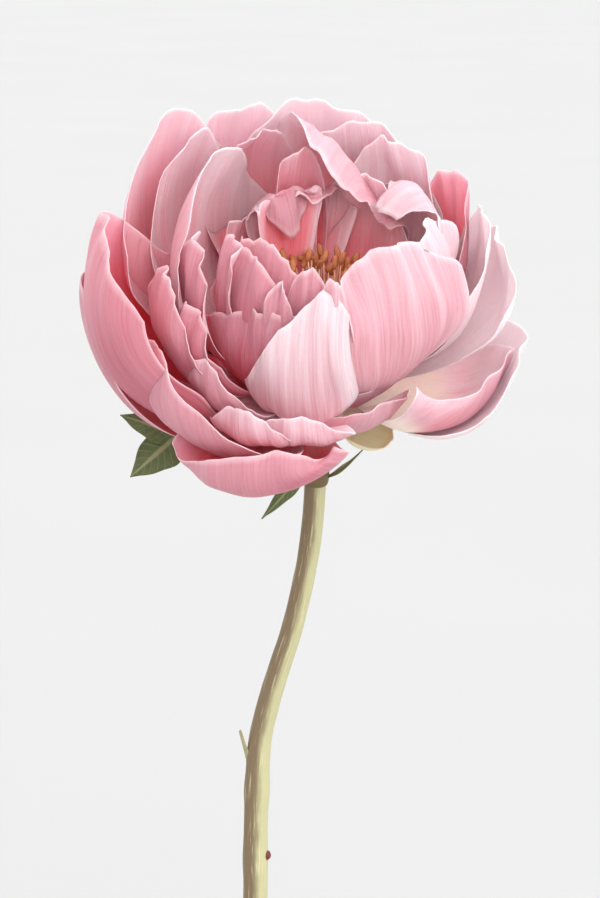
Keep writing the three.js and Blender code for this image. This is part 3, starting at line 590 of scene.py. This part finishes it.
def petal_finish(name):
    """Silky petal: pink, deeper inside and towards the root, with painted shade on the outer face, which
    takes darker copies of each colour;
    cream at the claw; pale at the margin, with a thin whitish rim that is partly the edge's own paler tone
    and partly a painted highlight;
    and fine streaks and veins that fan out from the root. A pale amount past 1 whitens further, which on the
    right-hand petals paints the glow of light through them."""
    finish = Finish(name, Roughness=0.55, Subsurface_Weight=0.9, Subsurface_Scale=0.0006, Sheen_Weight=0.04,
                    Sheen_Roughness=0.4, Specular_IOR_Level=0.2)
    finish.shader.inputs["Subsurface Radius"].default_value = (1.0, 0.8, 0.85)
    plus, times, span, mix = finish.plus, finish.times, finish.span, finish.mix
    u, v = finish.sheet()
    inside, deep, milk, cream, seed = map(finish.value, ("inside", "deep", "milk", "cream", "seed"))

    streak = finish.fibres(u, v, 26.0, 1.6, 4.0, 0.6, seed=seed)
    veins = finish.fibres(u, v, 90.0, 2.2, 3.0, 0.55, 0.3, seed=seed)
    cloud = finish.fibres(u, v, 2.2, 1.8, 2.0, 0.5, seed=seed)

    root = span(v, 0.9, 0.25)
    share = times(finish.math("MULTIPLY_ADD", root, 0.85, 0.15), deep)
    share = plus(share, finish.sway(cloud, 0.9))
    share = times(share, plus(0.55, times(inside, 0.45)))
    share = plus(share, finish.sway(streak, 0.75), clamp=True)
    # painted shade: the outer face takes the darker copies of pink and blush
    base = mix(share, mix(inside, SHADED_PINK, PINK), mix(inside, SHADED_BLUSH, BLUSH))

    edge = finish.math("MAXIMUM", finish.from_middle(u), v)
    fade = times(span(edge, 0.6, 1.0), 0.45)
    fade = plus(fade, times(milk, span(streak, 0.25, 0.75, 0.55, 1.0)))
    fade = times(fade, finish.math("MULTIPLY_ADD", inside, 0.38, 0.62))
    fade = plus(fade, finish.sway(veins, 0.5), clamp=True)
    # painted shade here too, as the outer face takes the darker pale; past 1 the pale amount whitens towards
    # WHITE, which on the right-hand petals paints the glow of light through them
    pale = mix(span(milk, 1.0, 2.0), mix(inside, SHADED_PALE, PALE), WHITE)
    base = mix(fade, base, pale)

    reach = finish.minus(v, times(cream, 0.3))
    claw = times(span(plus(reach, times(streak, 0.16)), 0.38, 0.16), 0.85)
    base = mix(claw, base, CREAM)
    # a thin whitish line along the margin: partly the edge's paler tone, partly a painted highlight
    rim = times(span(edge, 0.965, 0.997), 0.28)
    finish.colour(mix(rim, base, RIM_TINT_AND_HIGHLIGHT))

    crepe = finish.noise(finish.here(), 520.0, 3.0, 0.6)
    relief = plus(plus(times(veins, 0.5), streak), times(crepe, 0.5))
    finish.bump(relief, 0.6, 0.0007)
    return finish.material


def stem_finish():
    """Fresh stem with painted shade and light: brown-olive along its left side, where shade falls, and pale
    yellow-green along its right side, which the light from the right picks out, with paler fibres along its
    length."""
    finish = Finish("stem_skin", Roughness=0.5, Subsurface_Weight=0.15, Subsurface_Scale=0.0012,
                    Specular_IOR_Level=0.4)
    u, v = finish.sheet()
    fibre = finish.fibres(u, v, 34.0, 26.0, 4.0, 0.6)
    blotch = finish.noise(finish.here(), 110.0, 3.0)
    # painted shade and light: dark along the stem's left side and pale along its right, by the side value
    lean = finish.plus(finish.value("side"), finish.sway(fibre, 0.7))
    lean = finish.plus(lean, finish.sway(blotch, 0.5))
    base = finish.mix(finish.span(lean, -0.3, 0.55), tint(122, 104, 78), tint(188, 184, 142))
    base = finish.mix(finish.times(finish.span(fibre, 0.55, 0.7), 0.35), base, tint(236, 228, 190))
    base = finish.mix(finish.value("dark"), base, tint(112, 52, 44))
    finish.colour(base)
    finish.bump(fibre, 0.5, 0.0005)
    return finish.material


def leaf_finish():
    """Grey-green leaf: a pale rib, side veins that leave it at a slant, and a mottled surface."""
    finish = Finish("leaf_skin", Roughness=0.5, Subsurface_Weight=0.2, Subsurface_Scale=0.001,
                    Specular_IOR_Level=0.25)
    u, v = finish.sheet()
    middle = finish.from_middle(u)
    slant = finish.minus(finish.times(v, 9.0), finish.times(middle, 1.6))
    side_vein = finish.math("ABSOLUTE", finish.minus(finish.math("FRACT", slant), 0.5))
    vein = finish.span(side_vein, 0.09, 0.02)
    rib = finish.span(middle, 0.16, 0.05)
    mottle = finish.noise(finish.here(), 420.0, 4.0, 0.6)
    base = finish.mix(mottle, tint(64, 80, 44), tint(110, 120, 78))
    base = finish.mix(finish.times(vein, 0.45), base, tint(138, 144, 110))
    base = finish.mix(finish.times(rib, 0.6), base, tint(164, 162, 124))
    base = finish.mix(finish.value("dark"), base, tint(118, 92, 66))
    finish.colour(base)
    finish.bump(finish.minus(finish.times(mottle, 0.4), finish.math("MAXIMUM", vein, rib)), 0.4, 0.0005)
    return finish.material


def sepal_finish():
    """Cream-green sepal, flushed brownish red towards its margin, with faint veins along it."""
    finish = Finish("sepal_skin", Roughness=0.5, Subsurface_Weight=0.3, Subsurface_Scale=0.0012,
                    Specular_IOR_Level=0.4)
    u, v = finish.sheet()
    veins = finish.fibres(u, v, 24.0, 2.0, 4.0, 0.6)
    cloud = finish.noise(finish.here(), 160.0, 2.0)
    base = finish.mix(veins, tint(212, 206, 158), tint(240, 234, 204))
    flush = finish.times(finish.span(finish.plus(v, finish.times(cloud, 0.3)), 0.95, 1.25), 0.35)
    finish.colour(finish.mix(flush, base, tint(196, 142, 118)))
    finish.bump(veins, 0.35, 0.0005)
    return finish.material


def pollen_finish():
    """Golden-orange anthers, browner here and there, on pale filaments: `tip` tells one from the other."""
    finish = Finish("stamen_pollen", Roughness=0.75, Subsurface_Weight=0.2, Subsurface_Scale=0.0008)
    grain = finish.noise(finish.here(), 1500.0, 3.0, 0.7)
    anther = finish.mix(grain, tint(160, 84, 54), tint(216, 146, 94))
    filament = finish.mix(grain, tint(226, 150, 120), tint(244, 206, 168))
    finish.colour(finish.mix(finish.value("tip"), filament, anther))
    finish.bump(grain, 0.6, 0.0004)
    return finish.material


def carpel_finish():
    """Downy green-cream flasks that turn crimson at the stigma."""
    finish = Finish("carpel_down", Roughness=0.7, Subsurface_Weight=0.25, Subsurface_Scale=0.001,
                    Sheen_Weight=0.4)
    down = finish.noise(finish.here(), 1300.0, 3.0, 0.6)
    base = finish.mix(down, tint(176, 176, 112), tint(222, 214, 166))
    finish.colour(finish.mix(finish.value("tip"), base, tint(196, 70, 84)))
    finish.bump(down, 0.5, 0.0004)
    return finish.material


def glaze_finish():
    """Pale off-white glaze with faint speckle, thinner and warmer at the lip and foot."""
    finish = Finish("vase_glaze", Roughness=0.22, Coat_Weight=0.35, Coat_Roughness=0.12,
                    Specular_IOR_Level=0.5)
    where = finish.here()
    split = finish.add("SeparateXYZ")
    finish.join(where, split, 0)
    height = split.outputs["Z"]
    cloud = finish.noise(where, 26.0, 4.0, 0.55)
    speck = finish.span(finish.noise(where, 900.0, 2.0, 0.6), 0.68, 0.76)
    base = finish.mix(cloud, tint(232, 228, 216), tint(243, 241, 233))
    base = finish.mix(finish.times(speck, 0.45), base, tint(176, 152, 122))
    lip = finish.span(height, (VASE_HEIGHT - 2.5) * MM, (VASE_HEIGHT - 0.4) * MM)
    foot = finish.span(height, 3.6 * MM, 1.2 * MM)
    thin = finish.times(finish.math("MAXIMUM", lip, foot), 0.8)
    finish.colour(finish.mix(thin, base, tint(206, 188, 160)))
    finish.bump(cloud, 0.08, 0.002)
    return finish.material


def water_finish():
    """Clear water with a faint swell."""
    finish = Finish("still_water", Roughness=0.02, IOR=1.333, Transmission_Weight=1.0)
    swell = finish.noise(finish.here(), 60.0, 2.0)
    finish.colour(finish.mix(swell, tint(238, 246, 246), tint(250, 253, 252)))
    finish.bump(swell, 0.05, 0.001)
    return finish.material


def floor_finish():
    """A plain pale floor, barely mottled."""
    finish = Finish("pale_paper", Roughness=0.9, Specular_IOR_Level=0.0)
    grain = finish.noise(finish.here(), 3.0, 2.0)
    finish.colour(finish.mix(grain, tint(188, 188, 188), tint(192, 192, 192)))
    return finish.material


def whorl(petals, root, first):
    """A whorl's petals with all their values, and the phase that each one's place in the bloom gives it."""
    return [{**PETAL_FORM, **root, **p, "phase": 1.3 * (first + k)} for k, p in enumerate(petals.values())]


def make_petals(name, petals, across, along, material):
    """One piece for a whorl: each petal a thin closed shell, thinner towards its margin, of across columns
    and along rows that are closer together near the margin."""
    t, s = np.meshgrid(np.linspace(0, 1, along), np.linspace(-1, 1, across), indexing="ij")
    s = np.sin(s * PETAL_BEND) / math.sin(PETAL_BEND)
    t = 1 - (1 - t) ** 1.15
    edge = smooth(np.maximum(np.abs(s), t), 0.6, 1)
    thickness = PETAL_THICKNESS + (PETAL_EDGE - PETAL_THICKNESS) * edge
    place = np.tile(np.stack([(s + 1) / 2, t], -1).reshape(-1, 2), (2, 1))
    parts = []
    for p in petals:
        middle = leaning(petal_middle(p, s, t))
        points, faces, _, data = shell(middle, thickness, deep=p["deep"], milk=p["milk"], cream=p["cream"],
                                       seed=3.7 * p["phase"])
        parts.append((points, faces, place, data))
    return piece_from(name, parts, material, "petal", "petals")


def leaf_blade(base, tip, face, width, sag, fold, across=15, along=41, toothed=0.05, thickness=0.5, dark=0.0):
    """A leaf or bract: its spine a parabola from base to tip that bows half of sag along face, its
    half-width following sin(pi * (0.12 + 0.88 t)^0.8) with low teeth, folded along its rib and a little
    wavy."""
    t, s = np.meshgrid(np.linspace(0, 1, along), np.linspace(-1, 1, across), indexing="ij")
    base, tip, face = (np.asarray(item, float) for item in (base, tip, face))
    face = face / np.linalg.norm(face)
    mid = (base + tip) / 2 + face * sag
    u = t[..., None]
    spine = (1 - u) ** 2 * base + 2 * u * (1 - u) * mid + u**2 * tip
    ahead = 2 * (1 - u) * (mid - base) + 2 * u * (tip - mid)
    ahead /= np.linalg.norm(ahead, axis=-1, keepdims=True)
    cross = np.cross(face, ahead)
    cross /= np.linalg.norm(cross, axis=-1, keepdims=True)
    up = np.cross(ahead, cross)
    taper = np.sin(math.pi * (0.12 + 0.88 * t) ** 0.8)
    notch = 1 + toothed * np.sin(15 * t + 2 * s)
    half = np.maximum(0.5 * width * taper * notch, 0.12)
    rise = fold * np.abs(s) * half + 0.06 * width * np.sin(9 * t + 1.5) * np.abs(s) * s
    middle = spine + cross * (s * half)[..., None] - up * rise[..., None]
    return shell(middle, thickness * (1 - 0.5 * np.abs(s)), dark=dark)


def stem_route():
    """The stem's centre line as evenly spread points, from the bloom down."""
    return curve_through(STEM_ROUTE + HUB, 260)


def make_stem(material):
    """The stem: a shallow-grooved rod along its S, swelling at the cut leaf's stub and at the receptacle,
    with a dark bud scar."""
    route = stem_route()
    run = np.linspace(0, 1, len(route))
    radius = STEM_RADIUS_TOP + (STEM_RADIUS_FOOT - STEM_RADIUS_TOP) * smooth(run, 0.15, 0.55)
    drop = HUB[2] - route[:, 2]
    stub_knot, scar_knot = (np.exp(-((drop - at) / KNOT_REACH) ** 2) for at in (STUB_DROP, SCAR_DROP))
    radius = radius * (1 + 0.10 * stub_knot + 0.06 * scar_knot)
    radius = radius + 0.05 * ripples(run * 30, 0 * run, 5, 6, 0.4, 2.0)
    sides = 40
    points, faces, place, _ = pipe(route, radius, sides, groove=0.025, grooves=5)
    # side runs from -1 on the stem's left to 1 on its right; the stem finish paints shade and light by it
    angle = np.tile(np.linspace(0, 2 * math.pi, sides, endpoint=False), len(route))
    side = np.concatenate([np.cos(angle), [0, 0]])
    rod = (points, faces, place, {"side": side, "dark": np.zeros(len(points))})

    cup = turned_form(curve_through(RECEPTACLE_OUTLINE, 30), 40)
    receptacle = (leaning(cup[0]), cup[1], cup[2], {"side": np.full(len(cup[0]), 0.2)})
    stub = leaf_blade(HUB + [-20.8, 14, -STUB_DROP], HUB + [-24.8, 13, 19 - STUB_DROP], (-0.9, -0.4, 0),
                      4.6, -0.6, 0.3, thickness=1.0)
    stub[3]["side"] = np.full(len(stub[0]), 0.15)
    ball = np.linspace(-math.pi / 2, math.pi / 2, 14)
    bead = turned_form(np.stack([1.35 * np.cos(ball), 1.6 * np.sin(ball)], -1), 18)
    scar = (bead[0] + HUB + [-16.5, 13.2, 0.9 - SCAR_DROP], bead[1], bead[2], {"dark": np.ones(len(bead[0]))})
    return piece_from("flower_stem", [rod, receptacle, stub, scar], material, "stem", "stem")


def make_leaves(material):
    """The sheath round the stem with its hanging bract and thin upright one, and the lobed leaf on its
    stalk behind the bloom."""
    route = stem_route()
    k = int(np.argmin(np.abs(route[:, 2] - (HUB[2] + NODE_HEIGHT))))
    place = route[k]
    down = route[k + 1] - route[k - 1]
    down /= np.linalg.norm(down)
    run = np.linspace(-1, 1, 14)
    sleeve = pipe(place + down * SLEEVE_HALF * run[:, None], STEM_RADIUS_TOP + 0.75 - 0.25 * np.abs(run) ** 3,
                  32, groove=0.02, rounded=-0.4)
    sleeve[3]["dark"] = np.full(len(sleeve[0]), 0.75)
    root, tip, face = HANGING_BRACT
    hanging = leaf_blade(place + root, HUB + tip, face, 4.8, 1.6, 0.35)
    root, tip, face = UPRIGHT_BRACT
    upright = leaf_blade(place + root, HUB + tip, face, 2.4, -1, 0.3, dark=0.35)
    stalk = pipe(curve_through(np.vstack([place + [-3, 3, 0.6], LEAF_STALK + HUB]), 50),
                 np.linspace(1.2, 0.8, 50), 12, rounded=0.3)
    stalk[3]["dark"] = np.full(len(stalk[0]), 0.5)
    lobes = [leaf_blade(HUB + root, HUB + tip, LEAF_FACE, width, 1.2, 0.22, across, along)
             for root, tip, width, across, along in LEAF_LOBES]
    parts = [sleeve, hanging, upright, stalk, *lobes]
    return piece_from("bracts_and_leaf", parts, material, "leaf", "bracts")


def make_sepals(material):
    """The calyx: five cupped sepals, thick at the root and thin at the margin, on a rolled collar."""
    t, s = np.meshgrid(np.linspace(0, 1, 33), np.linspace(-1, 1, 29), indexing="ij")
    edge = smooth(np.maximum(np.abs(s), t), 0.4, 1)
    thickness = SEPAL_THICKNESS + (SEPAL_EDGE - SEPAL_THICKNESS) * edge
    parts = []
    for k, sepal in enumerate(SEPALS):
        values = {**PETAL_FORM, **SEPAL_FORM, **sepal, "phase": 0.9 * k}
        parts.append(shell(leaning(petal_middle(values, s, t)), thickness))
    collar = turned_form(curve_through(COLLAR_OUTLINE, 26)[::-1], 40)
    parts.append((leaning(collar[0]), collar[1], collar[2], {}))
    return piece_from("calyx", parts, material, "sepal", "sepals")


def make_stamens(material):
    """The stamens: bent filaments set out by the golden angle on a low ring, each with a long two-lobed
    anther. Longer and more upright in the middle, shorter and leaning out at the rim."""
    draw = np.random.default_rng(4)
    parts = []
    for k in range(STAMEN_COUNT):
        share = (k + 0.5) / STAMEN_COUNT
        angle = math.radians(STAMEN_TURN * k)
        lean = math.radians(np.interp(share, (0, 1), STAMEN_LEANS) + draw.uniform(-4, 4))
        length = np.interp(share, (0, 1), STAMEN_LENGTHS) + draw.uniform(-2.5, 2.5)
        foot = 5.4 + 1.6 * share
        round_way = np.array([math.cos(angle), math.sin(angle), 0])
        heading = round_way * math.cos(lean) + np.array([0, 0, math.sin(lean)])
        root = round_way * foot + [0, 0, 5.6]
        sway = np.array([draw.normal(0, 1.2), draw.normal(0, 1.2), 0])
        u = np.linspace(0, 1, 5)[:, None]
        filament_route = root + heading * length * u + sway * u**2
        filament = pipe(filament_route, np.linspace(0.3, 0.2, 5), 5)
        filament[3]["tip"] = np.zeros(len(filament[0]))
        tilt = heading + [draw.normal(0, 0.35), draw.normal(0, 0.35), 0]
        tilt /= np.linalg.norm(tilt)
        centre = filament_route[-1] + tilt * 1.4
        v = np.linspace(-1, 1, 6)[:, None]
        anther_route = centre + tilt * v * 2.1 + sway * 0.12 * v**2
        size = 0.82 * np.sqrt(np.clip(1 - 0.92 * v[:, 0] ** 2, 0, 1))
        anther = pipe(anther_route, size, 8, groove=0.2, grooves=2)
        anther[3]["tip"] = np.ones(len(anther[0]))
        parts += [filament, anther]
    base = turned_form(STAMEN_DISC_OUTLINE, 40)
    parts.append((base[0], base[1], base[2], {"tip": np.zeros(len(base[0]))}))
    parts = [(leaning(points), faces, place, data) for points, faces, place, data in parts]
    return piece_from("stamen_ring", parts, material, "stamen", "stamens")


def make_carpels(material):
    """Plump flasks on a small disc, each ending in a curled crimson stigma."""
    disc = turned_form(CARPEL_DISC_OUTLINE, 32)
    parts = [(disc[0], disc[1], disc[2], {"tip": np.zeros(len(disc[0]))})]
    for k in range(CARPEL_COUNT):
        angle = 2 * math.pi * (k + 0.25) / CARPEL_COUNT
        way = np.array([math.cos(angle), math.sin(angle), 0])
        u = np.linspace(0, 1, 26)
        rise = CARPEL_FOOT + CARPEL_LENGTH * u
        route = way * (1.7 + 2.1 * u**3)[:, None] + np.array([0, 0, 1.0]) * rise[:, None]
        girth = 2.05 * np.sin(math.pi * (0.06 + 0.94 * u)) ** 0.7 * (1 - 0.45 * u)
        flask = pipe(route, np.maximum(girth, 0.15), 20, groove=0.04, grooves=2, rounded=0.1)
        flask[3]["tip"] = np.concatenate([np.repeat(smooth(u, 0.72, 0.92), 20), [0, 1]])
        curl = np.linspace(0, 1.25 * math.pi, 16)[:, None]
        stigma_route = route[-3] + way * (1.15 * (1 - np.cos(curl))) + np.array([0, 0, 1.1]) * np.sin(curl)
        stigma = pipe(stigma_route, np.linspace(0.75, 0.5, 16), 12, rounded=0.4)
        stigma[3]["tip"] = np.ones(len(stigma[0]))
        parts += [flask, stigma]
    parts = [(leaning(points), faces, place, data) for points, faces, place, data in parts]
    return piece_from("carpel_flasks", parts, material, "carpel", "carpels")


def make_vase(material):
    """The vase: one turned wall through its outline, a rounded lip, a shallow foot ring and faint throwing
    rings, with its inside as a second line a wall's width in."""
    outline = curve_through(VASE_OUTLINE, 130)
    height, radius = outline[:, 0], outline[:, 1]
    radius = radius + 0.06 * np.sin(height * 1.9) * smooth(height, 6, 20) * smooth(height, 144, 130)
    outer = np.stack([radius, height], -1)
    keep = (height > VASE_FLOOR + 5) & (height < VASE_HEIGHT - 2)
    inner = np.stack([radius[keep] - VASE_WALL, height[keep]], -1)[::-1]
    turn = np.linspace(0, math.pi, 12)
    lip = np.stack([radius[-1] - LIP_HALF + LIP_HALF * np.cos(turn),
                    VASE_HEIGHT - LIP_ROUND + LIP_ROUND * np.sin(turn)], -1)
    outer = outer[outer[:, 1] < VASE_HEIGHT - 1.4]
    floor = np.array([[22, VASE_FLOOR], [0, VASE_FLOOR]])
    profile = np.concatenate([VASE_FOOT, outer[1:], lip, inner, floor])
    return piece_from("vase_body", [turned_form(profile, 160)], material, "glaze", "vase")


def make_floor(material):
    """A plain pale floor: a wide disc of rings, so large that its edge is out of every view."""
    sides = 64
    turn = np.linspace(0, 2 * math.pi, sides, endpoint=False)
    rings = np.array([0.4, 2, 8, 40])
    flat = np.zeros((len(rings), sides))
    points = np.stack([np.outer(rings, np.cos(turn)), np.outer(rings, np.sin(turn)), flat], -1)
    index = np.arange(len(rings) * sides).reshape(len(rings), sides)
    near, after = index[:-1], np.roll(index[:-1], -1, axis=1)
    bands = np.stack([near, near + sides, after + sides, after], -1).reshape(-1, 4)
    mesh = bpy.data.meshes.new("floor")
    mesh.from_pydata(points.reshape(-1, 3).tolist(), [], [*bands.tolist(), index[0].tolist()])
    mesh.materials.append(material)
    floor = bpy.data.objects.new("floor", mesh)
    bpy.context.scene.collection.objects.link(floor)


def make_camera():
    """The photograph's view: it looks along +Y and down by VIEW_DROP, from VIEW_DISTANCE, with the hub at
    HUB_PIXEL at SCALE millimetres to a pixel."""
    ahead = Vector((0, math.cos(VIEW_DROP), -math.sin(VIEW_DROP)))
    up = Vector((0, math.sin(VIEW_DROP), math.cos(VIEW_DROP)))
    right = Vector((1, 0, 0))
    target = (Vector(HUB) + right * (IMAGE[0] / 2 - HUB_PIXEL[0]) * SCALE
              + up * (HUB_PIXEL[1] - IMAGE[1] / 2) * SCALE) * MM
    data = bpy.data.cameras.new("view")
    data.lens = data.sensor_width * VIEW_DISTANCE / (IMAGE[1] * SCALE)
    data.clip_end = 20
    camera = bpy.data.objects.new("view", data)
    camera.location = target - ahead * VIEW_DISTANCE * MM
    camera.rotation_euler = ahead.to_track_quat("-Z", "Y").to_euler()
    bpy.context.scene.collection.objects.link(camera)
    bpy.context.scene.camera = camera


def sky_light(name, heading, power, spread):
    """A distant light that shines along heading, as wide as spread degrees of sky."""
    data = bpy.data.lights.new(name, "SUN")
    data.energy, data.angle = power, math.radians(spread)
    light = bpy.data.objects.new(name, data)
    light.rotation_euler = Vector(heading).to_track_quat("-Z", "Y").to_euler()
    bpy.context.scene.collection.objects.link(light)


# Each light's heading, power and spread
SKY_LIGHTS = {
    "window": ((-0.72, 0.02, -0.69), 1.05, 40),
    "skylight": ((0.15, 0.6, -0.78), 1.05, 60),
    "front_light": ((-0.25, 0.93, -0.26), 1.5, 50),
    "back_light": ((0.64, -0.46, -0.6), 1.2, 60),
}
HORIZON_LEVEL = 0.88
SHADE_LEVEL, WINDOW_LEVEL = 0.52, 1.2  # the surround's strength away from the window and towards it


def make_light():
    """A window's light from the right, a skylight's from above, soft ones from the front and from behind at
    the left, and a surround that is even at the horizon and, over it, paler towards the window."""
    world = bpy.data.worlds.new("surround")
    world.use_nodes = True
    nodes, links = world.node_tree.nodes, world.node_tree.links
    split, mix = nodes.new("ShaderNodeSeparateXYZ"), nodes.new("ShaderNodeMix")
    links.new(nodes.new("ShaderNodeTexCoord").outputs["Generated"], split.inputs[0])
    share, even, sideways = (mix.inputs[k] for k in (0, 2, 3))
    even.default_value = HORIZON_LEVEL
    for axis, low, high, socket, bottom, top in (("X", -0.8, 0.8, sideways, SHADE_LEVEL, WINDOW_LEVEL),
                                                 ("Z", 0.02, 0.25, share, 0.0, 1.0)):
        level = nodes.new("ShaderNodeMapRange")
        links.new(split.outputs[axis], level.inputs["Value"])
        for name, value in (("From Min", low), ("From Max", high), ("To Min", bottom), ("To Max", top)):
            level.inputs[name].default_value = value
        links.new(level.outputs[0], socket)
    links.new(mix.outputs[0], nodes["Background"].inputs["Strength"])
    nodes["Background"].inputs["Color"].default_value = (1.0, 1.0, 1.0, 1)
    bpy.context.scene.world = world
    for name, (heading, power, spread) in SKY_LIGHTS.items():
        sky_light(name, heading, power, spread)


bpy.context.scene.view_settings.view_transform = "Standard"
make_camera()
make_light()
make_floor(floor_finish())
petal_skin = petal_finish("petal_silk")
first = 0
for name, petals, root, across, along in (("guard_petals", GUARD_PETALS, GUARD_ROOT, 45, 57),
                                          ("middle_petals", MIDDLE_PETALS, MIDDLE_ROOT, 37, 49),
                                          ("inner_petals", INNER_PETALS, INNER_ROOT, 25, 41)):
    make_petals(name, whorl(petals, root, first), across, along, petal_skin)
    first += len(petals)
make_stamens(pollen_finish())
make_carpels(carpel_finish())
make_sepals(sepal_finish())
make_leaves(leaf_finish())
make_stem(stem_finish())
make_vase(glaze_finish())
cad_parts["water"].data.materials.clear()
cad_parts["water"].data.materials.append(water_finish())
